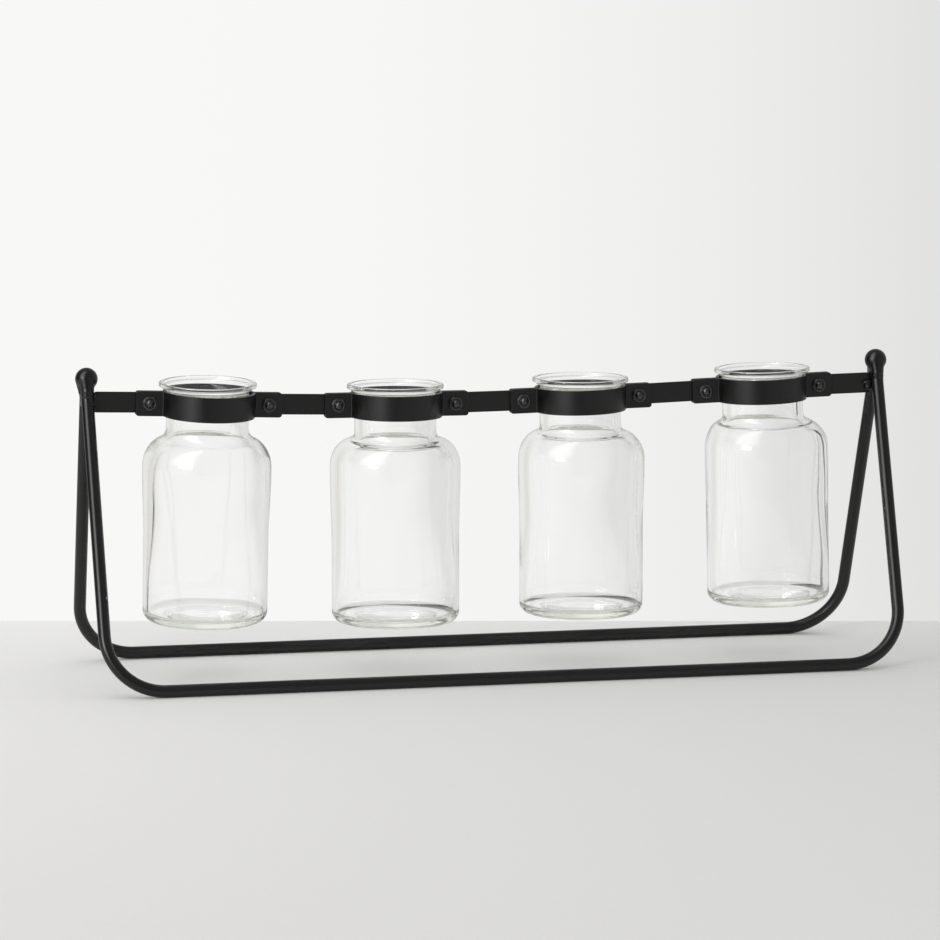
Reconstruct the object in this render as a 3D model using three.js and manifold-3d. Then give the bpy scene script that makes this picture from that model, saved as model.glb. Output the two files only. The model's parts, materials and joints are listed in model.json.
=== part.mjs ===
// Four glass vases that hang in a row from a jointed flat bar, on a frame of two bent rods.
// Millimetres, +Z up. The front is -Y. The origin is on the floor, under the middle of the frame.

import * as THREE from "three";
import { mergeVertices } from "three/addons/utils/BufferGeometryUtils.js";
import Module from "manifold-3d";

const wasm = await Module();
wasm.setup();

// Frame: two round rods, each bent into a wide U, which lean together under a ball at each end
const rodRadius = 3;
const rodSides = 14;
const rodGap = 0.3; // between the two rods where they stand side by side
const footHalfLength = 195.4; // from the middle of the frame to the legs, carried down to the floor rod
const topOverhang = 1.6; // of the upright rod ends beyond that
const footHalfDepth = 54.1; // from the middle of the frame to the floor rods
const cornerRadius = 28; // of a rod's centre line, where a leg turns into the floor rod
const legBendAboveBar = 1.5; // where a slanting leg turns upright
const legBendRadius = 9;
const ballRadius = 5.4;
const ballCentreHeight = 146;
const ballAboveBar = 11.2; // from the middle of the bar's ends up to the balls' centres
const weldGap = 0.2; // between welded pieces
const ballNeckHeight = 3; // of the weld that carries a ball on the two rod ends

// Bar: strips and collars, screwed end to end
const strapThickness = 1.5;
const stripHeight = 10;
const collarHeight = 12;
const strapCornerRadius = 1.4;
const seatGap = 0.1; // between flat faces that a screw clamps together
const vaseCount = 4;
const vasePitch = 92;
const screwSpacing = 58; // between the two screws of a collar
const earOverlap = 6.5; // from a screw to the end of a collar's ear
const stripOverlap = 5.5; // from a screw to the end of a strip
const collarBendRadius = 1; // inside the bend between a collar's ear and its band
const stripToRod = 2; // from an end strip to the side of the rods, filled by the weld
const weldBeadSize = new THREE.Vector3(3, 1.9, 3.1); // half lengths

// The screws have a little play, so the bar settles into a shallow sag
const sagDepth = 4.85;
const sagSharpness = 1.3;
const sagLean = 0.4; // how much deeper the left side settles

// In degrees from left to right: how far each collar's band droops at the front, how far its vase
// leans forward with it, and how far each vase's foot swings out to the right
const frontDroops = [2.4, 0, 0, 0];
const rightSwings = [-0.8, 0, 0, 1.3];

// Screws and nuts
const screwRadius = 2;
const holeClearance = 0.3;
const screwLength = 10; // under the head
const screwHeadRadius = 3.5;
const screwRimHeight = 0.8;
const screwDomeRadius = 2.8;
const screwDomeHeight = 2;
const nutAcrossFlats = 7;
const nutHeight = 3.2;
const threadClearance = 0.1;
const screwChamfer = 0.4;
const screwSides = 10;
const holeSides = 10;

// Vases: blown glass jars that hang by their rims
const neckRadius = 19.9;
const neckClearance = 0.9; // between a neck and its collar
const rimRadius = 23.5;
const rimHeight = 3.4; // above the collar's edge that it rests on
const rimSlopeRise = 1.9; // of the rim's underside, from the neck out to the rim's side
const rimRounding = 1.1;
const rimSeatGap = 0.3;
const bodyRadius = 31.2;
const vaseHeight = 116.3;
const neckFlareRadius = 4; // of the hollow curve from the neck out to the shoulder
const neckFlareAngle = 1.2; // how far that curve turns, in radians
const shoulderDepth = 40.2; // from the top of the rim to where the shoulder meets the side
const shoulderHeight = 14.3;
const shoulderWidth = 12.2;
const heelRadius = 5.5;
const neckWall = 2.6;
const bodyWall = 2.7;
const footRingRadius = 23; // of the ring that the base stands on
const baseThickness = 4.6;
const basePunt = 1.4; // how far the middle of the base rises
const mouthRounding = 1.6;
const vaseSides = 24;

const blackPaint = { color: 0x17171a, roughness: 0.5, metalness: 0.3 };
const clearGlass = { color: 0xe9f0ea, roughness: 0.05, metalness: 0 };

const QUARTER = Math.PI / 2;
const topHalfLength = footHalfLength + topOverhang; // to the upright rod ends
const barEndHeight = ballCentreHeight - ballAboveBar; // of the bar's middle, at its welds
const legBendHeight = barEndHeight + legBendAboveBar;
const ballNeckBase = ballCentreHeight - ballRadius;
const rodTopHeight = ballNeckBase - weldGap;
const rodHalfSpacing = rodRadius + rodGap / 2;
const earFace = strapThickness / 2 + seatGap; // inner face of a collar's ear
const collarInnerRadius = neckRadius + neckClearance;
const collarOuterRadius = collarInnerRadius + strapThickness;
const clampHalfThickness = earFace + strapThickness;

// Solids for joining and cutting

function toSolid(geometry) {
  const bare = geometry.clone();
  bare.deleteAttribute("normal");
  bare.deleteAttribute("uv");
  const merged = mergeVertices(bare, 1e-4);
  return new wasm.Manifold(
    new wasm.Mesh({
      numProp: 3,
      vertProperties: new Float32Array(merged.attributes.position.array),
      triVerts: new Uint32Array(merged.index.array),
    }),
  );
}

function toGeometry(solid) {
  const mesh = solid.getMesh();
  const geometry = new THREE.BufferGeometry();
  geometry.setAttribute("position", new THREE.BufferAttribute(mesh.vertProperties, 3));
  geometry.setIndex(new THREE.BufferAttribute(mesh.triVerts, 1));
  geometry.computeVertexNormals();
  return geometry;
}

function named(name, geometry, look) {
  const mesh = new THREE.Mesh(geometry, new THREE.MeshStandardMaterial(look));
  mesh.name = name;
  return mesh;
}

// Points of an arc from one angle to another, both ends included
function arc(centreX, centreY, radiusX, radiusY, fromAngle, toAngle, steps) {
  const points = [];
  for (let i = 0; i <= steps; i++) {
    const angle = fromAngle + ((toAngle - fromAngle) * i) / steps;
    const x = centreX + radiusX * Math.cos(angle);
    const y = centreY + radiusY * Math.sin(angle);
    points.push(new THREE.Vector2(x, y));
  }
  return points;
}

function roundArc(centreX, centreY, radius, fromAngle, toAngle, steps) {
  return arc(centreX, centreY, radius, radius, fromAngle, toAngle, steps);
}

// Straight walls on an outline, half of them on each side of the outline's plane
function prism(outline, height) {
  const geometry = new THREE.ExtrudeGeometry(outline, { depth: height, bevelEnabled: false });
  return geometry.translate(0, 0, -height / 2);
}

// A plate that stands along the bar: its outline lies in X and Z, its thickness in Y
function barPlate(outline, thickness) {
  return prism(outline, thickness).rotateX(QUARTER);
}

function roundedRectangle(left, right, height, radius) {
  const inset = height / 2 - radius;
  const steps = 3;
  return new THREE.Shape([
    ...roundArc(right - radius, -inset, radius, -QUARTER, 0, steps),
    ...roundArc(right - radius, inset, radius, 0, QUARTER, steps),
    ...roundArc(left + radius, inset, radius, QUARTER, 2 * QUARTER, steps),
    ...roundArc(left + radius, -inset, radius, 2 * QUARTER, 3 * QUARTER, steps),
  ]);
}

function roundHole(x, radius) {
  return new THREE.Path(roundArc(x, 0, radius, 4 * QUARTER, 0, holeSides).slice(1));
}

function screwHole(x) {
  return roundHole(x, screwRadius + holeClearance);
}

function hexagon(acrossFlats) {
  const reach = acrossFlats / 2 / Math.cos(Math.PI / 6);
  return new THREE.Shape(roundArc(0, 0, reach, Math.PI / 6, Math.PI / 6 + 4 * QUARTER, 6).slice(1));
}

// Frame

// Joins straight runs and bends end to end. Equal steps of the parameter fall on one run or bend
// each, so that straight runs take one step and a bend takes several.
class RodPath extends THREE.Curve {
  constructor(pieces) {
    super();
    this.pieces = pieces;
    this.stepCount = pieces.reduce((sum, piece) => sum + piece.steps, 0);
  }

  getPoint(t, target = new THREE.Vector3()) {
    let step = Math.min(Math.max(t, 0), 1) * this.stepCount;
    for (const { curve, steps } of this.pieces) {
      if (step <= steps) return target.copy(curve(step / steps));
      step -= steps;
    }
    const last = this.pieces.at(-1);
    return target.copy(last.curve(1));
  }

  getUtoTmapping(u) {
    return u;
  }
}

function straight(from, to) {
  return { steps: 1, curve: (t) => from.clone().lerp(to, t) };
}

// A round bend at the corner between two directions, with its start and end points
function bend(before, corner, after, radius, steps) {
  const back = before.clone().sub(corner).normalize();
  const on = after.clone().sub(corner).normalize();
  const halfAngle = back.angleTo(on) / 2;
  const reach = radius / Math.tan(halfAngle);
  const start = corner.clone().addScaledVector(back, reach);
  const end = corner.clone().addScaledVector(on, reach);
  const inward = back.clone().add(on).normalize();
  const centre = corner.clone().addScaledVector(inward, radius / Math.sin(halfAngle));
  const arm = start.clone().sub(centre);
  const axis = arm.clone().cross(end.clone().sub(centre)).normalize();
  const turn = Math.PI - 2 * halfAngle;
  const curve = (t) => arm.clone().applyAxisAngle(axis, turn * t).add(centre);
  return { steps, curve, start, end };
}

// The route of one rod: side is -1 for the front loop and 1 for the back loop
function loopPath(side) {
  const at = (x, y, z) => new THREE.Vector3(x, side * y, z);
  const halfRoute = (end) => ({
    tip: at(end * topHalfLength, rodHalfSpacing, rodTopHeight),
    knee: at(end * topHalfLength, rodHalfSpacing, legBendHeight),
    corner: at(end * footHalfLength, footHalfDepth, rodRadius),
  });
  const left = halfRoute(-1);
  const right = halfRoute(1);
  const kneeSteps = 4;
  const cornerSteps = 10;
  const bends = [
    bend(left.tip, left.knee, left.corner, legBendRadius, kneeSteps),
    bend(left.knee, left.corner, right.corner, cornerRadius, cornerSteps),
    bend(left.corner, right.corner, right.knee, cornerRadius, cornerSteps),
    bend(right.corner, right.knee, right.tip, legBendRadius, kneeSteps),
  ];
  const pieces = [straight(left.tip, bends[0].start)];
  bends.forEach((piece, i) => {
    const next = i + 1 < bends.length ? bends[i + 1].start : right.tip;
    pieces.push(piece, straight(piece.end, next));
  });
  return new RodPath(pieces);
}

// The rod's section is a polygon whose flats touch the true radius, turned so that one flat of
// the floor rod faces straight down.
function rodGeometry(side, radius) {
  const path = loopPath(side);
  const steps = path.stepCount;
  const frames = path.computeFrenetFrames(steps, false);
  const floorStep = Math.floor(steps / 2);
  const down = new THREE.Vector3(0, 0, -1);
  const downAngle = Math.atan2(
    down.dot(frames.binormals[floorStep]),
    down.dot(frames.normals[floorStep]),
  );
  const halfFacet = Math.PI / rodSides;
  const section = new THREE.Shape();
  for (let i = 0; i < rodSides; i++) {
    const angle = downAngle + halfFacet + 2 * halfFacet * i;
    const reach = radius / Math.cos(halfFacet);
    const point = [reach * Math.cos(angle), reach * Math.sin(angle)];
    if (i === 0) section.moveTo(...point);
    else section.lineTo(...point);
  }
  return new THREE.ExtrudeGeometry(section, { extrudePath: path, steps });
}

// A ball on the weld that joins the two rod ends
function finialGeometry() {
  const ball = new THREE.SphereGeometry(ballRadius, 16, 10).rotateX(QUARTER);
  ball.translate(0, 0, ballCentreHeight);
  const neck = new THREE.CylinderGeometry(rodRadius * 0.8, rodRadius, ballNeckHeight, 16);
  neck.rotateX(QUARTER);
  neck.scale(1, (rodHalfSpacing + rodRadius) / rodRadius, 1);
  neck.translate(0, 0, ballNeckBase + ballNeckHeight / 2);
  return toGeometry(toSolid(ball).add(toSolid(neck)));
}

// Bar

function barHeightAt(x) {
  const along = x / topHalfLength;
  const sag = sagDepth * Math.cos((along * Math.PI) / 2) ** sagSharpness;
  return barEndHeight - sag * (1 - sagLean * along);
}

function vaseX(index) {
  return (index - (vaseCount - 1) / 2) * vasePitch;
}

function screwX(index) {
  const side = index % 2 === 0 ? -1 : 1;
  return vaseX(Math.floor(index / 2)) + (side * screwSpacing) / 2;
}

// A group halfway between two points of the bar, turned in line with them
function alongBar(fromX, toX, fromHeight = barHeightAt(fromX), toHeight = barHeightAt(toX)) {
  const group = new THREE.Group();
  group.position.set((fromX + toX) / 2, 0, (fromHeight + toHeight) / 2);
  group.rotation.y = -Math.atan2(toHeight - fromHeight, toX - fromX);
  return group;
}

function linkGeometry() {
  const halfSpacing = (vasePitch - screwSpacing) / 2;
  const end = halfSpacing + stripOverlap;
  const outline = roundedRectangle(-end, end, stripHeight, strapCornerRadius);
  outline.holes.push(screwHole(-halfSpacing), screwHole(halfSpacing));
  return barPlate(outline, strapThickness);
}

// The strip at one end of the bar, with a weld bead to each rod: end is -1 on the left
function addEndBar(parent, end) {
  const outerX = end * (topHalfLength - rodRadius - stripToRod);
  const holeX = end < 0 ? screwX(0) : screwX(2 * vaseCount - 1);
  const group = alongBar(...(end < 0 ? [outerX, holeX] : [holeX, outerX]));
  const halfLength = Math.abs(outerX - holeX) / 2;
  const near = halfLength + stripOverlap;
  const outline = end < 0
    ? roundedRectangle(-halfLength, near, stripHeight, strapCornerRadius)
    : roundedRectangle(-near, halfLength, stripHeight, strapCornerRadius);
  outline.holes.push(screwHole(-end * halfLength));
  let solid = toSolid(barPlate(outline, strapThickness));
  group.updateMatrix();
  const toGroup = group.matrix.clone().invert();
  for (const side of [-1, 1]) {
    const bead = new THREE.SphereGeometry(1, 10, 7);
    bead.scale(weldBeadSize.x, weldBeadSize.y, weldBeadSize.z);
    bead.translate(end * (halfLength + stripToRod), side * weldBeadSize.y, 0);
    solid = solid.add(toSolid(bead));
  }
  for (const side of [-1, 1]) {
    solid = solid.subtract(toSolid(rodGeometry(side, rodRadius + weldGap).applyMatrix4(toGroup)));
  }
  group.add(named(end < 0 ? "left_end_bar" : "right_end_bar", toGeometry(solid), blackPaint));
  parent.add(group);
}

// Half of a collar, seen from above: ear, bend, half-round band, bend, ear. The front half is
// made, and the back half is such a piece turned round. The band's middle droops by an angle.
function collarHalfGeometry(droop) {
  const bendY = -(clampHalfThickness + collarBendRadius);
  const bendX = Math.sqrt((collarOuterRadius + collarBendRadius) ** 2 - bendY ** 2);
  const bendAngle = Math.atan2(-bendY, bendX);
  const earEnd = screwSpacing / 2 + earOverlap;
  const innerBend = collarBendRadius + strapThickness;
  const bendSteps = 3;
  const bandSteps = 12;
  const outline = new THREE.Shape([
    new THREE.Vector2(-earEnd, -clampHalfThickness),
    ...roundArc(-bendX, bendY, collarBendRadius, QUARTER, bendAngle, bendSteps),
    ...roundArc(0, 0, collarOuterRadius, -Math.PI + bendAngle, -bendAngle, bandSteps).slice(1, -1),
    ...roundArc(bendX, bendY, collarBendRadius, Math.PI - bendAngle, QUARTER, bendSteps),
    new THREE.Vector2(earEnd, -clampHalfThickness),
    new THREE.Vector2(earEnd, -earFace),
    ...roundArc(bendX, bendY, innerBend, QUARTER, Math.PI - bendAngle, bendSteps),
    ...roundArc(0, 0, collarInnerRadius, -bendAngle, -Math.PI + bendAngle, bandSteps).slice(1, -1),
    ...roundArc(-bendX, bendY, innerBend, bendAngle, QUARTER, bendSteps),
    new THREE.Vector2(-earEnd, -earFace),
  ]);
  const band = prism(outline, collarHeight);
  const face = roundedRectangle(-earEnd, earEnd, collarHeight, strapCornerRadius);
  face.holes.push(screwHole(-screwSpacing / 2), screwHole(screwSpacing / 2));
  const trim = barPlate(face, 4 * collarOuterRadius);
  const geometry = toGeometry(toSolid(band).intersect(toSolid(trim)));
  const corners = geometry.attributes.position;
  for (let i = 0; i < corners.count; i++) {
    const beyondEars = Math.max(0, -corners.getY(i) - clampHalfThickness);
    corners.setZ(i, corners.getZ(i) - beyondEars * Math.tan(droop));
  }
  return geometry;
}

// Screws and nuts

// A domed head with a thin rim at the front, and a plain shank that reaches through to the back
function screwGeometry() {
  const seat = -(clampHalfThickness + seatGap);
  const rimFace = seat - screwRimHeight;
  const shankEnd = seat + screwLength;
  const profile = [
    ...arc(0, rimFace, screwDomeRadius, -screwDomeHeight, QUARTER, 0, 4),
    new THREE.Vector2(screwHeadRadius - screwChamfer, rimFace),
    new THREE.Vector2(screwHeadRadius, rimFace + screwChamfer),
    new THREE.Vector2(screwHeadRadius, seat),
    new THREE.Vector2(screwRadius, seat),
    new THREE.Vector2(screwRadius, shankEnd - screwChamfer),
    new THREE.Vector2(screwRadius - screwChamfer, shankEnd),
    new THREE.Vector2(0, shankEnd),
  ];
  return new THREE.LatheGeometry(profile, screwSides);
}

function nutGeometry() {
  const outline = hexagon(nutAcrossFlats);
  outline.holes.push(roundHole(0, screwRadius + threadClearance));
  const nut = barPlate(outline, nutHeight);
  return nut.translate(0, clampHalfThickness + seatGap + nutHeight / 2, 0);
}

// Vases

// A hollow jar, turned about its own axis. Its origin is level with the part of the rim's
// slope that rests on the collar.
function vaseGeometry() {
  const top = rimHeight;
  const bottom = rimHeight - vaseHeight;
  const shoulderZ = rimHeight - shoulderDepth;
  const flareR = neckRadius + neckFlareRadius;
  const shoulderR = bodyRadius - shoulderWidth;
  const floorZ = bottom + baseThickness;
  const innerBody = bodyRadius - bodyWall;
  const innerNeck = neckRadius - neckWall;
  const innerHeel = heelRadius - 1;
  const innerShoulder = shoulderHeight - bodyWall;
  const rimInset = rimRadius - rimRounding;
  const slopeStart = -rimSlopeRise * (neckClearance / (rimRadius - neckRadius));
  const shoulderStart = Math.acos(
    (flareR - neckFlareRadius * Math.cos(neckFlareAngle) - shoulderR) / shoulderWidth,
  );
  const neckEnd = shoulderZ + shoulderHeight * Math.sin(shoulderStart)
    + neckFlareRadius * Math.sin(neckFlareAngle);
  const flareStart = Math.PI + neckFlareAngle;
  const profile = [
    new THREE.Vector2(0, bottom + basePunt),
    new THREE.Vector2(footRingRadius - basePunt, bottom + basePunt * 0.7),
    new THREE.Vector2(footRingRadius, bottom),
    ...roundArc(bodyRadius - heelRadius, bottom + heelRadius, heelRadius, -QUARTER, 0, 3),
    ...arc(shoulderR, shoulderZ, shoulderWidth, shoulderHeight, 0, shoulderStart, 5),
    ...roundArc(flareR, neckEnd, neckFlareRadius, flareStart, Math.PI, 2).slice(1),
    new THREE.Vector2(neckRadius, slopeStart),
    new THREE.Vector2(rimRadius, slopeStart + rimSlopeRise),
    ...roundArc(rimInset, top - rimRounding, rimRounding, 0, QUARTER, 2),
    ...roundArc(innerNeck + mouthRounding, top - mouthRounding, mouthRounding, QUARTER, Math.PI, 2),
    new THREE.Vector2(innerNeck, neckEnd),
    ...arc(shoulderR - bodyWall, shoulderZ, shoulderWidth, innerShoulder, shoulderStart, 0, 4),
    ...roundArc(innerBody - innerHeel, floorZ + innerHeel, innerHeel, 0, -QUARTER, 2),
    new THREE.Vector2(0, floorZ + basePunt),
  ];
  return new THREE.LatheGeometry(profile, vaseSides).rotateX(QUARTER);
}

function settledAngle(degrees) {
  return ((degrees ?? 0) * Math.PI) / 180;
}

// A jar hangs on the highest edge of its collar. The collar's middle is on the jar's axis.
function addVase(parent, index) {
  const leftHeight = barHeightAt(screwX(2 * index));
  const rightHeight = barHeightAt(screwX(2 * index + 1));
  const swing = settledAngle(rightSwings[index]);
  const tilt = Math.abs(Math.atan2(rightHeight - leftHeight, screwSpacing) - swing);
  const hang = new THREE.Group();
  hang.position.set(vaseX(index), 0, (leftHeight + rightHeight) / 2);
  hang.rotation.set(settledAngle(frontDroops[index]), -swing, 0);
  const vase = named(`vase_${index + 1}`, vaseGeometry(), clearGlass);
  const collarTop = (collarHeight / 2) * Math.cos(tilt) + collarInnerRadius * Math.sin(tilt);
  vase.position.z = collarTop + rimSeatGap;
  hang.add(vase);
  parent.add(hang);
}

// Assembly

const stand = new THREE.Group();

stand.add(named("front_rod_loop", rodGeometry(-1, rodRadius), blackPaint));
stand.add(named("back_rod_loop", rodGeometry(1, rodRadius), blackPaint));

for (const [name, end] of [["left_ball", -1], ["right_ball", 1]]) {
  const finial = named(name, finialGeometry(), blackPaint);
  finial.position.x = end * topHalfLength;
  stand.add(finial);
}

addEndBar(stand, -1);
addEndBar(stand, 1);

for (let i = 1; i < vaseCount; i++) {
  const group = alongBar(screwX(2 * i - 1), screwX(2 * i));
  group.add(named(`link_bar_${i}`, linkGeometry(), blackPaint));
  stand.add(group);
}

for (let i = 0; i < vaseCount; i++) {
  const collar = alongBar(screwX(2 * i), screwX(2 * i + 1));
  const droop = settledAngle(frontDroops[i]);
  const frontHalf = named(`collar_front_${i + 1}`, collarHalfGeometry(droop), blackPaint);
  const backHalf = named(`collar_back_${i + 1}`, collarHalfGeometry(-droop), blackPaint);
  backHalf.rotation.z = Math.PI;
  collar.add(frontHalf, backHalf);
  stand.add(collar);
  addVase(stand, i);
}

for (let i = 0; i < 2 * vaseCount; i++) {
  const fastener = new THREE.Group();
  fastener.position.set(screwX(i), 0, barHeightAt(screwX(i)));
  fastener.add(named(`screw_${i + 1}`, screwGeometry(), blackPaint));
  fastener.add(named(`nut_${i + 1}`, nutGeometry(), blackPaint));
  stand.add(fastener);
}

export default stand;
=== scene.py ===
"""Looks of a stand with four hanging glass vases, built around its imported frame."""

import json
import math
from collections import namedtuple

import bmesh
import bpy
from mathutils import Matrix, Vector, noise


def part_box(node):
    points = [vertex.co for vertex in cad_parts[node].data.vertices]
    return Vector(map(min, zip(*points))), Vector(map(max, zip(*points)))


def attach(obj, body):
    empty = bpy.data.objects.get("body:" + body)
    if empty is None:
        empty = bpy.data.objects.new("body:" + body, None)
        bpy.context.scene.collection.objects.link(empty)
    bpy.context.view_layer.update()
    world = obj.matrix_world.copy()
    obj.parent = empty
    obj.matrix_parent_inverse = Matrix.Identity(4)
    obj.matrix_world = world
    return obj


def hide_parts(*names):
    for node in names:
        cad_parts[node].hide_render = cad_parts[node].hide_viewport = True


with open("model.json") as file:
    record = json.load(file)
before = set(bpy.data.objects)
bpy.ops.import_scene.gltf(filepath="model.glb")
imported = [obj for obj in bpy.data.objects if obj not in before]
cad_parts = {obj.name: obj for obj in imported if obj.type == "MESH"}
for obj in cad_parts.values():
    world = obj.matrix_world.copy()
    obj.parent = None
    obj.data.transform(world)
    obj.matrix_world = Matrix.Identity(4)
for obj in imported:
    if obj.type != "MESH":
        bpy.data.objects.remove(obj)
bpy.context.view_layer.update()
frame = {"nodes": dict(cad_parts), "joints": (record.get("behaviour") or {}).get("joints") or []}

# Lengths below are millimetres, as in the CAD model. Angles are radians.
MM = 0.001
QUARTER = math.pi / 2

# Frame
ROD_RADIUS = 3.0
ROD_SPACING = 6.3
TOP_HALF_LENGTH = 197.0
FOOT_HALF_LENGTH = 195.4
FOOT_HALF_DEPTH = 54.1
CORNER_RADIUS = 28.0
KNEE_RADIUS = 9.0
KNEE_HEIGHT = 136.3
ROD_TOP_HEIGHT = 140.4
BALL_RADIUS = 5.4
BALL_HEIGHT = 146.0

# Bar
STRAP_THICKNESS = 1.5
STRIP_HEIGHT = 10.0
COLLAR_HEIGHT = 12.0
STRAP_CORNER = 1.4
STRAP_EDGE = 0.22
SEAT_GAP = 0.1
COLLAR_INNER_RADIUS = 20.8
COLLAR_BEND = 1.0
COLLAR_DROOPS = (2.4, 0, 0, 0)  # degrees that each band hangs down at the front
SCREW_SPACING = 58.0
EAR_OVERLAP = 6.5
STRIP_OVERLAP = 5.5
STRIP_TO_ROD = 0.2
HOLE_RADIUS = 2.3
HOLE_LENGTH = 12.0  # of the cutter, longer than any strap is thick
STRIP_RISES = (0.2, 0.2, 0.2, 0.3, 0.0)  # within the play of the screws in their holes
EAR_DROPS = ((0.3, 0.1), (0.3, 0.0), (0.1, 0.3), (-0.1, -0.1))  # left and right, likewise
EAR_FACE = STRAP_THICKNESS / 2 + SEAT_GAP
CLAMP_HALF = EAR_FACE + STRAP_THICKNESS

# Vases
VASE_HEIGHT = 116.3
NECK_RADIUS = 19.9
RIM_RADIUS = 23.5
RIM_SLOPE_START = 3.95  # under the rim's top
RIM_SLOPE_END = 1.8
RIM_ROUNDING = 0.55

# Photograph's camera
PHOTO_PIXELS = 940
FOCAL_PIXELS = 4422.0
SENSOR_WIDTH = 36.0
CAMERA_PLACE = (-472.57, -2089.09, 382.67)
CAMERA_PITCH = 0.13287
CAMERA_YAW = 0.21821


# Meshes

def fade(value, start, end):
    """Rises smoothly from 0 at the start to 1 at the end."""
    share = max(0.0, min(1.0, (value - start) / (end - start)))
    return share * share * (3 - 2 * share)


def arc(centre, radius, start, end, steps):
    """Points of an arc, both ends included. The radius is one number, or one for each axis."""
    rx, ry = radius if isinstance(radius, tuple) else (radius, radius)
    angles = [start + (end - start) * i / steps for i in range(steps + 1)]
    return [(centre[0] + rx * math.cos(a), centre[1] + ry * math.sin(a)) for a in angles]


def subdivide(points, longest):
    """Adds points on an outline's straight runs so that no step is longer than the one given."""
    finer = [points[0]]
    for a, b in zip(points, points[1:]):
        parts = max(1, math.ceil(math.dist(a, b) / longest))
        finer += [tuple(p + (q - p) * k / parts for p, q in zip(a, b)) for k in range(1, parts + 1)]
    return finer


def loft(rings):
    """Vertices and faces of a closed skin over rings of points. A ring of one point is a pole."""
    vertices, faces, starts = [], [], []
    for ring in rings:
        starts.append(len(vertices))
        vertices += ring
    for k in range(len(rings) - 1):
        a, b = rings[k], rings[k + 1]
        n = max(len(a), len(b))
        for i in range(n):
            j = (i + 1) % n
            if len(a) == 1:
                faces.append((starts[k], starts[k + 1] + j, starts[k + 1] + i))
            elif len(b) == 1:
                faces.append((starts[k] + i, starts[k] + j, starts[k + 1]))
            else:
                faces.append((starts[k] + i, starts[k] + j, starts[k + 1] + j, starts[k + 1] + i))
    for ring, start in ((rings[0], starts[0]), (rings[-1], starts[-1])):
        if len(ring) > 2:
            faces.append(tuple(range(start, start + len(ring))))
    return vertices, faces


def revolve(profile, sides):
    """Rings of points round the Z axis for a profile of radius and height."""
    rings = []
    for radius, height in profile:
        if radius < 1e-6:
            rings.append([(0.0, 0.0, height)])
            continue
        turns = [2 * math.pi * i / sides for i in range(sides)]
        rings.append([(radius * math.cos(a), radius * math.sin(a), height) for a in turns])
    return rings


def piece(name, shape, place, body, material, nodes=(), flat_faces=False):
    """Makes an object of the visible model from vertices in millimetres and a place in the frame."""
    vertices, faces = shape
    mesh = bpy.data.meshes.new(name)
    mesh.from_pydata([place @ Vector(v) * MM for v in vertices], [], faces)
    shell = bmesh.new()
    shell.from_mesh(mesh)
    bmesh.ops.recalc_face_normals(shell, faces=shell.faces)
    shell.to_mesh(mesh)
    shell.free()
    mesh.shade_smooth()
    mesh.materials.append(material)
    obj = bpy.data.objects.new(name, mesh)
    bpy.context.scene.collection.objects.link(obj)
    if flat_faces:
        weigh_normals(obj)
    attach(obj, body)
    if nodes:
        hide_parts(*nodes)
    return obj


def weigh_normals(obj):
    """Keeps large flat faces flat between their rounded edges."""
    modifier = obj.modifiers.new("flat_faces", "WEIGHTED_NORMAL")
    modifier.keep_sharp = True
    modifier.weight = 100


def settle(obj):
    """Turns an object's modifiers into its mesh."""
    depsgraph = bpy.context.evaluated_depsgraph_get()
    mesh = bpy.data.meshes.new_from_object(obj.evaluated_get(depsgraph))
    obj.modifiers.clear()
    obj.data = mesh


# Materials

def node_material(name):
    material = bpy.data.materials.new(name)
    material.use_nodes = True
    nodes = material.node_tree.nodes
    nodes.clear()
    output = nodes.new("ShaderNodeOutputMaterial")
    return material, nodes, material.node_tree.links, output


def noise_node(nodes, links, coordinates, scale, detail=2.0, roughness=0.5):
    texture = nodes.new("ShaderNodeTexNoise")
    texture.inputs["Scale"].default_value = scale
    texture.inputs["Detail"].default_value = detail
    texture.inputs["Roughness"].default_value = roughness
    links.new(coordinates, texture.inputs["Vector"])
    return texture.outputs["Fac"]


def feed(links, value, socket):
    """Sets a socket to a number, or links an output to it."""
    if isinstance(value, bpy.types.NodeSocket):
        links.new(value, socket)
    else:
        socket.default_value = value


def ramp_node(nodes, links, value, stops):
    ramp = nodes.new("ShaderNodeMapRange")
    for name, stop in zip(("From Min", "From Max", "To Min", "To Max"), stops):
        feed(links, stop, ramp.inputs[name])
    links.new(value, ramp.inputs["Value"])
    return ramp.outputs["Result"]


def mix_node(nodes, links, share, a, b):
    """A colour between two others. Each is three numbers or an output."""
    mix = nodes.new("ShaderNodeMix")
    mix.data_type = "RGBA"
    links.new(share, mix.inputs["Factor"])
    for value, name in ((a, "A"), (b, "B")):
        feed(links, value if isinstance(value, bpy.types.NodeSocket) else (*value, 1), mix.inputs[name])
    return mix.outputs["Result"]


def switch_node(nodes, links, share, a, b):
    """Shader a, or shader b where the share is 1."""
    switch = nodes.new("ShaderNodeMixShader")
    links.new(share, switch.inputs["Fac"])
    links.new(a, switch.inputs[1])
    links.new(b, switch.inputs[2])
    return switch.outputs["Shader"]


def bump_node(nodes, links, height, strength, distance):
    bump = nodes.new("ShaderNodeBump")
    bump.inputs["Strength"].default_value = strength
    bump.inputs["Distance"].default_value = distance
    links.new(height, bump.inputs["Height"])
    return bump.outputs["Normal"]


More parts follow.
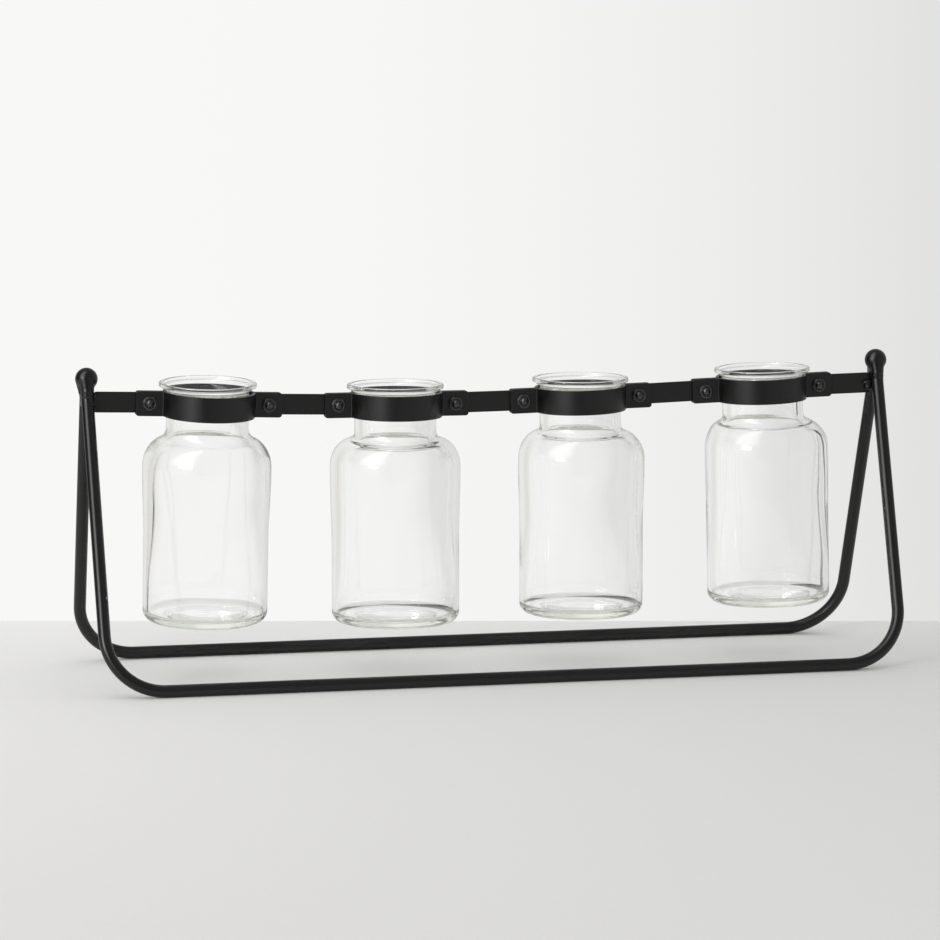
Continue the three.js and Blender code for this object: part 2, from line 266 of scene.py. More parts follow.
def black_paint(name, shade, roughness, grain, specular):
    """Satin black powder coat: fine orange peel, uneven gloss, and a little dust in its tone."""
    material, nodes, links, output = node_material(name)
    place = nodes.new("ShaderNodeTexCoord").outputs["Object"]
    paint = nodes.new("ShaderNodeBsdfPrincipled")
    paint.inputs["Specular IOR Level"].default_value = specular
    links.new(paint.outputs["BSDF"], output.inputs["Surface"])

    cloud = noise_node(nodes, links, place, 60.0, detail=4.0)
    dark = (shade * 0.8, shade * 0.8, shade * 0.82)
    light = (shade * 1.25, shade * 1.22, shade * 1.2)
    links.new(mix_node(nodes, links, cloud, dark, light), paint.inputs["Base Color"])

    speckle = noise_node(nodes, links, place, 420.0, detail=3.0)
    gloss = ramp_node(nodes, links, speckle, (0.3, 0.7, roughness - 0.02, roughness + 0.03))
    links.new(gloss, paint.inputs["Roughness"])

    peel = noise_node(nodes, links, place, 1100.0, detail=2.0, roughness=0.6)
    links.new(bump_node(nodes, links, peel, grain, 0.00008), paint.inputs["Normal"])
    return material


def blown_glass(name):
    """Clear glass with a faint green in its thick parts and slow waves in its skin."""
    material, nodes, links, output = node_material(name)
    place = nodes.new("ShaderNodeTexCoord").outputs["Object"]
    glass = nodes.new("ShaderNodeBsdfPrincipled")
    glass.inputs["Base Color"].default_value = (1, 1, 1, 1)
    glass.inputs["Transmission Weight"].default_value = 1.0
    glass.inputs["Roughness"].default_value = 0.04
    glass.inputs["IOR"].default_value = 1.5

    wave = noise_node(nodes, links, place, 45.0, detail=1.0)
    links.new(bump_node(nodes, links, wave, 0.12, 0.001), glass.inputs["Normal"])

    # Shadow rays go straight through, so that the shadow of clear glass stays light
    clear = nodes.new("ShaderNodeBsdfTransparent")
    clear.inputs["Color"].default_value = (0.93, 0.945, 0.935, 1)
    shadow = nodes.new("ShaderNodeLightPath").outputs["Is Shadow Ray"]
    skin = switch_node(nodes, links, shadow, glass.outputs["BSDF"], clear.outputs["BSDF"])
    links.new(skin, output.inputs["Surface"])

    tint = nodes.new("ShaderNodeVolumeAbsorption")
    tint.inputs["Color"].default_value = (0.92, 0.93, 0.885, 1)
    tint.inputs["Density"].default_value = 22.0
    links.new(tint.outputs["Volume"], output.inputs["Volume"])
    return material


# Paint smoother than 0.28 gets specks in the denoised picture where it mirrors the glass
rod_paint = black_paint("rod_paint", shade=0.002, roughness=0.30, grain=0.04, specular=0.47)
strap_paint = black_paint("strap_paint", shade=0.0035, roughness=0.33, grain=0.10, specular=0.42)
fastener_paint = black_paint("fastener_paint", shade=0.004, roughness=0.30, grain=0.04, specular=0.9)
glass = blown_glass("clear_glass")


# Rods

def rounded_route(corners, radii, arc_step):
    """Points along straight runs joined by round bends at the inner corners."""
    route = [corners[0]]
    for before, corner, after, radius in zip(corners, corners[1:], corners[2:], radii):
        back = (before - corner).normalized()
        on = (after - corner).normalized()
        half = back.angle(on) / 2
        start = corner + back * (radius / math.tan(half))
        centre = corner + (back + on).normalized() * (radius / math.sin(half))
        arm = start - centre
        axis = arm.cross(corner + on * (radius / math.tan(half)) - centre).normalized()
        turn = math.pi - 2 * half
        steps = math.ceil(turn * radius / arc_step)
        route += [centre + Matrix.Rotation(turn * k / steps, 3, axis) @ arm for k in range(steps + 1)]
    return route + [corners[-1]]


def tube(route, radius, sides):
    """Rings of a round rod along a route, each turned from the last by the least angle."""
    rings = []
    side = None
    for i, point in enumerate(route):
        before = route[max(i - 1, 0)]
        after = route[min(i + 1, len(route) - 1)]
        along = (after - before).normalized()
        side = along.orthogonal() if side is None else side - along * side.dot(along)
        side.normalize()
        other = along.cross(side)
        turns = [2 * math.pi * k / sides for k in range(sides)]
        rings.append([point + (side * math.cos(a) + other * math.sin(a)) * radius for a in turns])
    return rings


def make_rod(name, side):
    """A loop from one ball's weld down, along the table and up to the other. Side -1 is the front."""
    def at(x, y, z):
        return Vector((x, side * y, z))

    half_spacing = ROD_SPACING / 2
    corners = [
        at(-TOP_HALF_LENGTH, half_spacing, ROD_TOP_HEIGHT),
        at(-TOP_HALF_LENGTH, half_spacing, KNEE_HEIGHT),
        at(-FOOT_HALF_LENGTH, FOOT_HALF_DEPTH, ROD_RADIUS),
        at(FOOT_HALF_LENGTH, FOOT_HALF_DEPTH, ROD_RADIUS),
        at(TOP_HALF_LENGTH, half_spacing, KNEE_HEIGHT),
        at(TOP_HALF_LENGTH, half_spacing, ROD_TOP_HEIGHT),
    ]
    radii = [KNEE_RADIUS, CORNER_RADIUS, CORNER_RADIUS, KNEE_RADIUS]
    route = rounded_route(corners, radii, arc_step=1.2)
    rings = tube(route, ROD_RADIUS, sides=40)
    piece(name, loft(rings), Matrix(), "stand", rod_paint, [name])


make_rod("front_rod_loop", -1)
make_rod("back_rod_loop", 1)


# Balls, each on the weld that joins two rod ends

def smooth_max(a, b, blend):
    share = max(0.0, min(1.0, 0.5 + 0.5 * (a - b) / blend))
    return b + (a - b) * share + blend * share * (1 - share)


def pair_reach(angle, radius, half_spacing):
    """Distance from the middle of two round rods side by side to the skin stretched round them."""
    across, deep = math.cos(angle), math.sin(angle)
    if abs(across) * half_spacing > radius * abs(deep):
        return radius / abs(across)
    push = half_spacing * abs(deep)
    return push + math.sqrt(radius ** 2 - (half_spacing * across) ** 2)


WELD_LOW = 133.0  # where the weld under a ball runs out on the rods
WELD_RISE = (135.0, 138.5)  # heights between which it comes out of the rods' skin
WELD_SINK = 0.2  # under their skin below that
WELD_COVER = 0.12  # over their cut ends
WELD_SWELL = 0.45  # of its inner side, between the rods
WELD_BLEND = 0.8
DROP_START = 0.2  # of the left weld's outer side, beyond the ball
DROP_SLOPE = 0.27  # of that side, which runs down from the ball like a drop
UNEVEN_DEPTHS = (2.5, 5.0)  # under a ball's middle, where the smooth ball turns into rough weld
UNEVEN_BLEND = 1.6
LEAST_BLEND = 0.01
RIPPLE = 0.12
LOW_POINT = 0.2  # of the weld's skin, under its first ring, between the rods
RING_STEP = 0.3
CAP_STEPS = 24
BALL_SIDES = 64


def weld_reach(angle, z, drop):
    """How far a weld spreads at a height. The angle 0 is the outer side, where the drop may be."""
    radius = ROD_RADIUS - WELD_SINK + (WELD_COVER + WELD_SINK) * fade(z, *WELD_RISE)
    reach = pair_reach(angle, radius, ROD_SPACING / 2)
    reach += WELD_SWELL * max(0.0, -math.cos(angle)) ** 4
    if z > ROD_TOP_HEIGHT:
        towards_ball = (z - ROD_TOP_HEIGHT) / (BALL_HEIGHT - ROD_TOP_HEIGHT)
        reach += (BALL_RADIUS - reach) * towards_ball * math.sin(angle) ** 2
    fall = BALL_RADIUS + DROP_START - DROP_SLOPE * (BALL_HEIGHT - z)
    outer = max(0.0, math.cos(angle)) ** 1.5
    return smooth_max(reach, fall * outer * drop, WELD_BLEND)


def make_ball(name, end, drop):
    """A ball and the weld under it, with a share of the drop on its outer side."""
    rings = [[(0.0, 0.0, WELD_LOW - LOW_POINT)]]
    turns = [2 * math.pi * k / BALL_SIDES for k in range(BALL_SIDES)]
    for step in range(round((BALL_HEIGHT - WELD_LOW) / RING_STEP)):
        z = WELD_LOW + RING_STEP * step
        depth = BALL_HEIGHT - z
        ball = math.sqrt(BALL_RADIUS ** 2 - depth ** 2) if depth < BALL_RADIUS else 0.0
        uneven = fade(depth, *UNEVEN_DEPTHS)
        ring = []
        for a in turns:
            reach = smooth_max(weld_reach(a, z, drop), ball, UNEVEN_BLEND * uneven + LEAST_BLEND)
            ripple = noise.noise(Vector((math.cos(a) * 2, math.sin(a) * 2, z * 0.8 + end)))
            reach += RIPPLE * ripple * uneven
            ring.append((end * min(reach * math.cos(a), BALL_RADIUS), reach * math.sin(a), z))
        rings.append(ring)
    for step in range(CAP_STEPS):
        lift = QUARTER * step / CAP_STEPS
        radius = BALL_RADIUS * math.cos(lift)
        height = BALL_HEIGHT + BALL_RADIUS * math.sin(lift)
        rings.append([(end * radius * math.cos(a), radius * math.sin(a), height) for a in turns])
    rings.append([(0.0, 0.0, BALL_HEIGHT + BALL_RADIUS)])
    place = Matrix.Translation((end * TOP_HALF_LENGTH, 0, 0))
    piece(name, loft(rings), place, "stand", rod_paint, [name])


make_ball("left_ball", -1, drop=1.0)
make_ball("right_ball", 1, drop=0.0)


# Straps: flat stock with rounded corners and slightly rounded edges

def strap(plan, height):
    """Rings of a strap that stands on edge along a plan route of points (along, depth)."""
    runs = [0.0]
    for a, b in zip(plan, plan[1:]):
        runs.append(runs[-1] + math.dist(a, b))
    total = runs[-1]
    rings = []
    for i, (x, y) in enumerate(plan):
        before = plan[max(i - 1, 0)]
        after = plan[min(i + 1, len(plan) - 1)]
        length = math.dist(before, after)
        normal = ((before[1] - after[1]) / length, (after[0] - before[0]) / length)
        from_end = min(runs[i], total - runs[i])
        half_height = height / 2 - rounding(STRAP_CORNER, from_end)
        half_thick = STRAP_THICKNESS / 2 - rounding(STRAP_EDGE, from_end)
        edge = min(STRAP_EDGE, half_thick)
        ring = []
        for quarter, (sx, sz) in enumerate(((1, 1), (-1, 1), (-1, -1), (1, -1))):
            centre = (sx * (half_thick - edge), sz * (half_height - edge))
            start = quarter * QUARTER
            for across, up in arc(centre, edge, start, start + QUARTER, 3):
                ring.append((x + normal[0] * across, y + normal[1] * across, up))
        rings.append(ring)
    return rings


def rounding(radius, from_end):
    """How far a rounded corner cuts in at a distance from the end."""
    if from_end >= radius:
        return 0.0
    return radius - math.sqrt(radius ** 2 - (radius - from_end) ** 2)


CORNER_STEPS = (0, 0.04, 0.1, 0.25, 0.5, 1.0, 1.6, 2.3, 3.2, 4.2)  # closer where it is steep


def run_out(start, end, towards_end):
    """Points on a straight run, close together at the end that is rounded."""
    scale = STRAP_CORNER / CORNER_STEPS[-1] / math.dist(start, end)
    marks = [step * scale for step in CORNER_STEPS] + [1.0]
    if towards_end:
        marks = [1 - m for m in reversed(marks)]
    return [(start[0] + (end[0] - start[0]) * m, start[1] + (end[1] - start[1]) * m) for m in marks]


def drill(obj, place, centres):
    """Cuts screw holes through a strap along its depth."""
    holes = bmesh.new()
    turn = Matrix.Rotation(QUARTER, 4, "X")
    for x in centres:
        spot = Matrix.Translation(Vector((x, 0, 0)) * MM) @ turn
        bmesh.ops.create_cone(
            holes, cap_ends=True, segments=32, radius1=HOLE_RADIUS * MM,
            radius2=HOLE_RADIUS * MM, depth=HOLE_LENGTH * MM, matrix=metres(place) @ spot,
        )
    mesh = bpy.data.meshes.new("holes")
    holes.to_mesh(mesh)
    holes.free()
    cutter = bpy.data.objects.new("holes", mesh)
    bpy.context.scene.collection.objects.link(cutter)
    cut = obj.modifiers.new("holes", "BOOLEAN")
    cut.object = cutter
    cut.solver = "EXACT"
    bpy.context.view_layer.update()
    settle(obj)
    bpy.data.objects.remove(cutter)


def metres(place):
    """The same place with its shift in metres."""
    moved = place.copy()
    moved.translation *= MM
    return moved


def screw_place(index, rise=0.0):
    """A screw's place along the bar and its height, or a height a little off it."""
    low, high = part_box(f"screw_{index}")
    return (low.x + high.x) / 2 / MM, (low.z + high.z) / 2 / MM + rise


def bar_place(x0, z0, x1, z1):
    """Halfway between two points of the bar, turned in line with them."""
    turn = Matrix.Rotation(-math.atan2(z1 - z0, x1 - x0), 4, "Y")
    return Matrix.Translation(((x0 + x1) / 2, 0, (z0 + z1) / 2)) @ turn


def make_strip(name, place, left, right, holes):
    """A straight strip of the bar, from left to right of its place, with screw holes."""
    plan = run_out((left, 0.0), (0.0, 0.0), towards_end=False)
    plan += run_out((0.0, 0.0), (right, 0.0), towards_end=True)[1:]
    shape = loft(strap(plan, STRIP_HEIGHT))
    obj = piece(name, shape, place, "stand", strap_paint, [name])
    drill(obj, place, holes)
    weigh_normals(obj)


def make_link_bar(index):
    """A strip from a collar's right screw to the next collar's left one."""
    first = screw_place(2 * index, STRIP_RISES[index])
    last = screw_place(2 * index + 1, STRIP_RISES[index])
    half = math.dist(first, last) / 2
    reach = half + STRIP_OVERLAP
    make_strip(f"link_bar_{index}", bar_place(*first, *last), -reach, reach, (-half, half))


for i in (1, 2, 3):
    make_link_bar(i)


# End strips with the welds that hold them to the rods

WELD_END = TOP_HALF_LENGTH - ROD_RADIUS - STRIP_TO_ROD
WELD_HEIGHT = 134.8
LUMP_GRAIN = 0.25
LUMP_SOFTENING = 6
LUMP_WAVES = 0.9  # per millimetre
LUMP_WAVE_HEIGHT = 0.18


def weld_lump(blobs, seed):
    """One lumpy solid round several overlapping blobs (centre, half sizes)."""
    lump = bmesh.new()
    for centre, size in blobs:
        spot = Matrix.Translation(Vector(centre) * MM) @ Matrix.Diagonal((*[s * MM for s in size], 1))
        bmesh.ops.create_icosphere(lump, subdivisions=3, radius=1.0, matrix=spot)
    mesh = bpy.data.meshes.new("lump")
    lump.to_mesh(mesh)
    lump.free()
    obj = bpy.data.objects.new("lump", mesh)
    bpy.context.scene.collection.objects.link(obj)
    remesh = obj.modifiers.new("skin", "REMESH")
    remesh.mode = "VOXEL"
    remesh.voxel_size = LUMP_GRAIN * MM
    smooth = obj.modifiers.new("soften", "SMOOTH")
    smooth.iterations = LUMP_SOFTENING
    bpy.context.view_layer.update()
    settle(obj)
    for vertex in obj.data.vertices:
        wave = noise.noise(vertex.co / MM * LUMP_WAVES + Vector((seed, 0, 0)))
        vertex.co += vertex.normal * wave * LUMP_WAVE_HEIGHT * MM
    return obj


def make_end_bar(name, end, blobs):
    """A strip from the last screw to the rods, and its welds as one more skin of the same piece."""
    screw = screw_place(1, STRIP_RISES[0]) if end < 0 else screw_place(8, STRIP_RISES[-1])
    weld = (end * WELD_END, WELD_HEIGHT)
    first, last = sorted((screw, weld))
    half = math.dist(screw, weld) / 2
    near = half + STRIP_OVERLAP
    left, right = (-half, near) if end < 0 else (-near, half)
    make_strip(name, bar_place(*first, *last), left, right, (-end * half,))
    lump = weld_lump(blobs, seed=end * 7)
    lump.name = f"{name}_weld"
    lump.data.shade_smooth()
    lump.data.materials.append(strap_paint)
    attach(lump, "stand")


make_end_bar("left_end_bar", -1, [
    ((-193.6, -1.0, 138.3), (1.7, 1.3, 1.3)),
    ((-193.8, -1.0, 131.8), (1.3, 1.1, 1.1)),
    ((-193.6, 1.7, 134.8), (2.6, 1.8, 3.1)),
])
make_end_bar("right_end_bar", 1, [
    ((192.6, -1.6, 135.0), (2.7, 1.9, 1.3)),
    ((192.9, -1.6, 133.0), (2.1, 1.6, 2.0)),
    ((193.6, 1.7, 134.8), (2.6, 1.8, 3.1)),
])


# Collars

def collar_plan():
    """Half a collar seen from above: ear, bend, half-round band, bend, ear."""
    middle = STRAP_THICKNESS / 2
    outer = COLLAR_INNER_RADIUS + STRAP_THICKNESS
    bend_y = -(CLAMP_HALF + COLLAR_BEND)
    bend_x = math.sqrt((outer + COLLAR_BEND) ** 2 - bend_y ** 2)
    bend_angle = math.atan2(-bend_y, bend_x)
    ear_end = SCREW_SPACING / 2 + EAR_OVERLAP
    ear_y = -(EAR_FACE + middle)
    band = COLLAR_INNER_RADIUS + middle
    inner_bend = COLLAR_BEND + middle
    points = run_out((-ear_end, ear_y), (-bend_x, ear_y), towards_end=False)[:-1]
    points += arc((-bend_x, bend_y), inner_bend, QUARTER, bend_angle, 8)
    points += arc((0, 0), band, -math.pi + bend_angle, -bend_angle, 64)[1:-1]
    points += arc((bend_x, bend_y), inner_bend, math.pi - bend_angle, QUARTER, 8)
    points += run_out((bend_x, ear_y), (ear_end, ear_y), towards_end=True)[1:]
    return points


def drooped(rings, angle):
    """A collar half whose band hangs down the further it is from the ears."""
    slope = math.tan(angle)
    return [[(x, y, z - max(0.0, -y - CLAMP_HALF) * slope) for x, y, z in ring] for ring in rings]


def make_collar(index):
    """The front and back halves of a collar, in line with its two screws."""
    left_drop, right_drop = EAR_DROPS[index - 1]
    place = bar_place(*screw_place(2 * index - 1, -left_drop), *screw_place(2 * index, -right_drop))
    droop = math.radians(COLLAR_DROOPS[index - 1])
    for side, turn, slope in (("front", 0.0, droop), ("back", math.pi, -droop)):
        turned = place @ Matrix.Rotation(turn, 4, "Z")
        name = f"collar_{side}_{index}"
        shape = loft(drooped(strap(collar_plan(), COLLAR_HEIGHT), slope))
        obj = piece(name, shape, turned, "stand", strap_paint, [name])
        drill(obj, turned, (-SCREW_SPACING / 2, SCREW_SPACING / 2))
        weigh_normals(obj)


for i in (1, 2, 3, 4):
    make_collar(i)


# Screws and nuts

SHANK_RADIUS = 2.0
SHANK_LENGTH = 10.0
SHANK_CHAMFER = 0.4
HEAD_RADIUS = 3.5
FLANGE_HEIGHT = 0.8
FLANGE_ROUNDING = 0.2
FLANGE_SIDE = 0.5  # height of its straight side
DOME = (2.05, 2.0)  # half width and height
DOME_FOOT = 0.75
GROOVE_PLACE = (2.15, 1.36)  # radius and height of its middle
GROOVE_RADIUS = 0.16
RING_PLACE = (2.75, 1.2)
RING = (0.45, 0.32)  # half width and height
SCREW_SIDES = 48
NUT_ACROSS = 7.0
NUT_HEIGHT = 3.2
NUT_BORE = 2.1
NUT_SIDES = 72


def screw_profile():
    """A round dome inside a raised ring, over a thin flange, on a plain shank."""
    flange = (HEAD_RADIUS - FLANGE_ROUNDING, FLANGE_HEIGHT - FLANGE_ROUNDING)
    return [
        *arc((0.0, DOME_FOOT), DOME, QUARTER, 0.3, 12),
        *arc(GROOVE_PLACE, GROOVE_RADIUS, -math.pi * 0.8, -math.pi * 0.2, 4),
        *arc(RING_PLACE, RING, math.pi * 0.85, 0, 10),
        *arc(flange, FLANGE_ROUNDING, QUARTER, 0, 4),
        (HEAD_RADIUS, FLANGE_SIDE),
        (HEAD_RADIUS, 0.0),
        (SHANK_RADIUS, 0.0),
        (SHANK_RADIUS, SHANK_CHAMFER - SHANK_LENGTH),
        (SHANK_RADIUS - SHANK_CHAMFER, -SHANK_LENGTH),
        (0.0, -SHANK_LENGTH),
    ]


def nut_shape():
    """A hexagon nut with chamfered corners, bored for the screw."""
    corner = NUT_ACROSS / 2 / math.cos(math.pi / 6)
    chamfer = [(0.0, 0.378), (0.14, 0.126), (0.3, 0.0)]  # height, and how far it cuts the corners
    levels = chamfer + [(NUT_HEIGHT - height, cut) for height, cut in reversed(chamfer)]
    turns = [2 * math.pi * k / NUT_SIDES for k in range(NUT_SIDES)]
    rings = []
    for height, cut in levels:
        ring = []
        for angle in turns:
            sector = (angle + math.pi / 6) % (math.pi / 3) - math.pi / 6
            radius = min(NUT_ACROSS / 2 / math.cos(sector), corner - cut)
            ring.append((radius * math.cos(angle), radius * math.sin(angle), height))
        rings.append(ring)
    for height in (NUT_HEIGHT, 0.0):
        rings.append([(NUT_BORE * math.cos(a), NUT_BORE * math.sin(a), height) for a in turns])
    return rings


def closed_loft(rings):
    """A skin over rings whose last joins the first, as on a ring-shaped solid."""
    vertices = [point for ring in rings for point in ring]
    n = len(rings[0])
    faces = []
    for k in range(len(rings)):
        after = (k + 1) % len(rings)
        for i in range(n):
            j = (i + 1) % n
            faces.append((k * n + i, k * n + j, after * n + j, after * n + i))
    return vertices, faces


def make_fastener(name, index, side, shape, sharp_angle):
    """A screw or nut that stands out from an ear. Side -1 is the front."""
    x, z = screw_place(index)
    seat = Matrix.Translation((x, side * (CLAMP_HALF + SEAT_GAP), z))
    place = seat @ Matrix.Rotation(-side * QUARTER, 4, "X")
    obj = piece(name, shape, place, "stand", fastener_paint, [name])
    obj.data.set_sharp_from_angle(angle=math.radians(sharp_angle))


for i in range(1, 9):
    make_fastener(f"screw_{i}", i, -1, loft(revolve(screw_profile(), SCREW_SIDES)), sharp_angle=50)
    make_fastener(f"nut_{i}", i, 1, closed_loft(nut_shape()), sharp_angle=25)


# Vases

# Blown by hand, so the jars differ. A jar has the radius of its body. Its shoulder has a width, a
# height and the depth of its foot under the rim's top. The hollow curve above has its radius, the
# flare, and an angle, the turn. Neck and body sit a little to one side, and the body narrows by the
# taper. The skew moves the hollow to one side of the body, and the lift moves the whole jar.
Jar = namedtuple("Jar", "body depth width height flare turn "
                        "neck_wall neck_shift body_shift lift taper skew seed")
JARS = (
    Jar(body=31.1, depth=40.8, width=12.3, height=14.5, flare=5.6, turn=1.15, neck_wall=2.6,
        neck_shift=-0.6, body_shift=-0.6, lift=0.1, taper=0.9, skew=0.7, seed=3.1),
    Jar(body=31.8, depth=40.0, width=11.9, height=13.9, flare=3.8, turn=0.98, neck_wall=3.7,
        neck_shift=-0.5, body_shift=-0.6, lift=-0.1, taper=0.7, skew=0.0, seed=8.4),
    Jar(body=31.0, depth=40.2, width=12.1, height=14.4, flare=3.0, turn=1.25, neck_wall=3.2,
        neck_shift=0.0, body_shift=0.6, lift=-0.1, taper=0.7, skew=0.0, seed=15.2),
    Jar(body=30.5, depth=39.9, width=12.3, height=14.6, flare=4.1, turn=1.39, neck_wall=3.2,
        neck_shift=0.6, body_shift=2.3, lift=0.3, taper=0.3, skew=0.0, seed=21.7),
)
NECK_DEPTH = 5.45  # from the rim's top to the neck's straight part
HEEL_RADIUS = 5.0
FOOT_RADIUS = 23.0
FOOT_RING = (2.2, 1.1)  # half width and height
PUNT = 1.4
SHOULDER_WALL = 4.2
LOW_WALL = 1.9
FLOOR_THICKNESS = 3.5
INNER_HEEL = (5.0, 2.0)  # width and height of the hollow's rounded foot
RIM_UNDERSIDE = 0.3  # rounding
LIP_WALL = 1.9
LIP_ROUNDING = 0.65
LIP_DEPTH = 1.5  # from the rim's top to where the mouth narrows
MOUTH_SLOPE = 0.82  # fall over run, down to the neck
MOUTH_END = 6.4
SKIN_STEP = 2.0
VASE_SIDES = 144

# Depths under the rim's top between which a jar changes
BODY_DEPTHS = (20.0, 36.0)
SHOULDER_WALL_DEPTHS = (23, 37)
TAPER_DEPTHS = (45.0, 75.0)
LOW_WALL_DEPTHS = (58, 102)

# Waves in the skins
SLOW_WAVE = (30, 40)  # width and height
FAST_WAVE = (14, 20)
OUTER_SLOW = 0.08
INNER_SLOW = 0.40
INNER_FAST = 0.10
STEADY_RADII = (14.0, 24.0)  # the waves grow between these, and the middle of the floor has none


def jar_side(jar):
    """The outer skin from the top of the heel up to the neck, in radius and height under the rim."""
    shoulder_r = jar.body - jar.width
    flare_r = NECK_RADIUS + jar.flare
    start = math.acos((flare_r - jar.flare * math.cos(jar.turn) - shoulder_r) / jar.width)
    neck_end = -jar.depth + jar.height * math.sin(start) + jar.flare * math.sin(jar.turn)
    side = subdivide([
        (jar.body, HEEL_RADIUS - VASE_HEIGHT),
        *arc((shoulder_r, -jar.depth), (jar.width, jar.height), 0, start, 28),
        *arc((flare_r, neck_end), jar.flare, math.pi + jar.turn, math.pi, 14)[1:],
        (NECK_RADIUS, -NECK_DEPTH),
    ], SKIN_STEP)
    return [(r - jar.taper * fade(-z, *TAPER_DEPTHS), z) for r, z in side]


def wall_at(depth, neck_wall):
    """Thickness of the glass: thin at the neck, thick in the shoulder, thin again lower down."""
    shoulder = (SHOULDER_WALL - neck_wall) * fade(depth, *SHOULDER_WALL_DEPTHS)
    low = (LOW_WALL - SHOULDER_WALL) * fade(depth, *LOW_WALL_DEPTHS)
    return neck_wall + shoulder + low


def inset(side, neck_wall):
    """The inner skin behind an outer one."""
    inner = []
    for i, (radius, height) in enumerate(side):
        before, after = side[max(i - 1, 0)], side[min(i + 1, len(side) - 1)]
        length = math.dist(before, after)
        across = (before[1] - after[1]) / length, (after[0] - before[0]) / length
        wall = wall_at(-height, neck_wall)
        inner.append((radius + across[0] * wall, height + across[1] * wall))
    return inner


def outer_outline(side):
    """The outer skin from the base's middle up to the rim's top."""
    base = -VASE_HEIGHT
    foot = (FOOT_RADIUS - FOOT_RING[0], base + FOOT_RING[1])
    heel = (side[0][0] - HEEL_RADIUS, base + HEEL_RADIUS)
    rim_low = -RIM_SLOPE_END - RIM_UNDERSIDE / 2
    rim_r = RIM_RADIUS - RIM_UNDERSIDE
    return subdivide([
        (0.0, base + PUNT),
        (FOOT_RADIUS * 0.5, base + PUNT * 0.93),
        *arc(foot, FOOT_RING, math.pi * 0.75, math.pi * 1.5, 6),
        *arc(heel, HEEL_RADIUS, -QUARTER, 0, 12)[:-1],
        *side,
        (NECK_RADIUS, -RIM_SLOPE_START),
        (rim_r, rim_low),
        *arc((rim_r, rim_low + RIM_UNDERSIDE), RIM_UNDERSIDE, -QUARTER * 0.6, 0, 3),
        *arc((RIM_RADIUS - RIM_ROUNDING, -RIM_ROUNDING), RIM_ROUNDING, 0, QUARTER, 8),
    ], SKIN_STEP)


def inner_outline(side, neck_wall):
    """The inner skin from the rim's top down to the floor's middle."""
    floor = FLOOR_THICKNESS - VASE_HEIGHT
    neck_r = NECK_RADIUS - neck_wall
    lip_r = RIM_RADIUS - LIP_WALL
    slope_top = (lip_r - 0.3, -LIP_DEPTH - 0.35)
    slope_r = neck_r + 0.6
    inner_side = inset(side, neck_wall)
    heel_r = inner_side[0][0] - INNER_HEEL[0]
    heel_z = floor + INNER_HEEL[1]
    return subdivide([
        *arc((lip_r + LIP_ROUNDING, -LIP_ROUNDING), LIP_ROUNDING, QUARTER, math.pi, 6),
        (lip_r - 0.04, -LIP_DEPTH),
        slope_top,
        (slope_r, slope_top[1] - (slope_top[0] - slope_r) * MOUTH_SLOPE),
        (neck_r + 0.15, -MOUTH_END + 0.8),
        *[point for point in reversed(inner_side) if heel_z + 1 < point[1] < -MOUTH_END],
        *arc((heel_r, heel_z), INNER_HEEL, 0, -QUARTER, 12),
        (heel_r * 0.6, floor + 0.2),
        (0.0, floor + 0.5),
    ], SKIN_STEP)


def vase_place(index, lift):
    """The middle of the rim's top, turned in line with the axis that the jar hangs in."""
    name = f"vase_{index}"
    joint = next(joint for joint in frame["joints"] if joint["child"] == name)
    pivot, axis = Vector(joint["pos_m"]), Vector(joint["axis"]).normalized()
    top = max((vertex.co - pivot).dot(axis) for vertex in frame["nodes"][name].data.vertices)
    turn = Vector((0, 0, 1)).rotation_difference(axis).to_matrix().to_4x4()
    return Matrix.Translation((pivot + axis * top) / MM + axis * lift) @ turn


def skin_wave(x, y, z, seed, inside):
    """How far a skin of blown glass waves outward at a point."""
    width, height = SLOW_WAVE
    slow = noise.noise(Vector((x / width + seed, y / width, z / height)))
    if not inside:
        return OUTER_SLOW * slow
    width, height = FAST_WAVE
    fast = noise.noise(Vector((x / width, y / width + seed, z / height)))
    return INNER_SLOW * slow + INNER_FAST * fast


def blown(point, jar, inside):
    """Where a point of the clean round shape lies in a jar that was blown by hand."""
    x, y, z = point
    body = fade(-z, *BODY_DEPTHS)
    shift = jar.neck_shift + (jar.body_shift - jar.neck_shift) * body
    if inside:
        shift += jar.skew * body
    radius = math.hypot(x, y)
    if radius > 0:
        wave = skin_wave(x, y, z, jar.seed, inside)
        grown = 1 + wave * body * fade(radius, *STEADY_RADII) / radius
        x, y = x * grown, y * grown
    return x + shift, y, z


def make_vase(index, jar):
    """A jar of one closed skin, up the outside and down the inside."""
    side = jar_side(jar)
    outside = revolve(outer_outline(side), VASE_SIDES)
    inside = revolve(inner_outline(side, jar.neck_wall), VASE_SIDES)
    rings = [[blown(point, jar, inside=False) for point in ring] for ring in outside]
    rings += [[blown(point, jar, inside=True) for point in ring] for ring in inside]
    name = f"vase_{index}"
    piece(name, loft(rings), vase_place(index, jar.lift), name, glass, [name])


for index, jar in enumerate(JARS, start=1):
    make_vase(index, jar)


# Stage: a pale table top that ends behind the stand, under a pale sky of studio light

TABLE_BACK = 128.0  # from the middle of the stand
TABLE_FRONT = 700.0
TABLE_HALF_WIDTH = 2200.0
# Painted light: the table's tones are brighter on the left and at the back, where more light falls
TABLE_NEAR_PAINTED_LIGHT = ((0.77, 0.762, 0.745), (0.745, 0.745, 0.73))  # tones, left and right
TABLE_FAR_PAINTED_LIGHT = ((0.94, 0.935, 0.915), (0.74, 0.74, 0.725))
VIEW_HALF_WIDTH = 0.1018  # how far a direction at the edge of the picture goes sideways


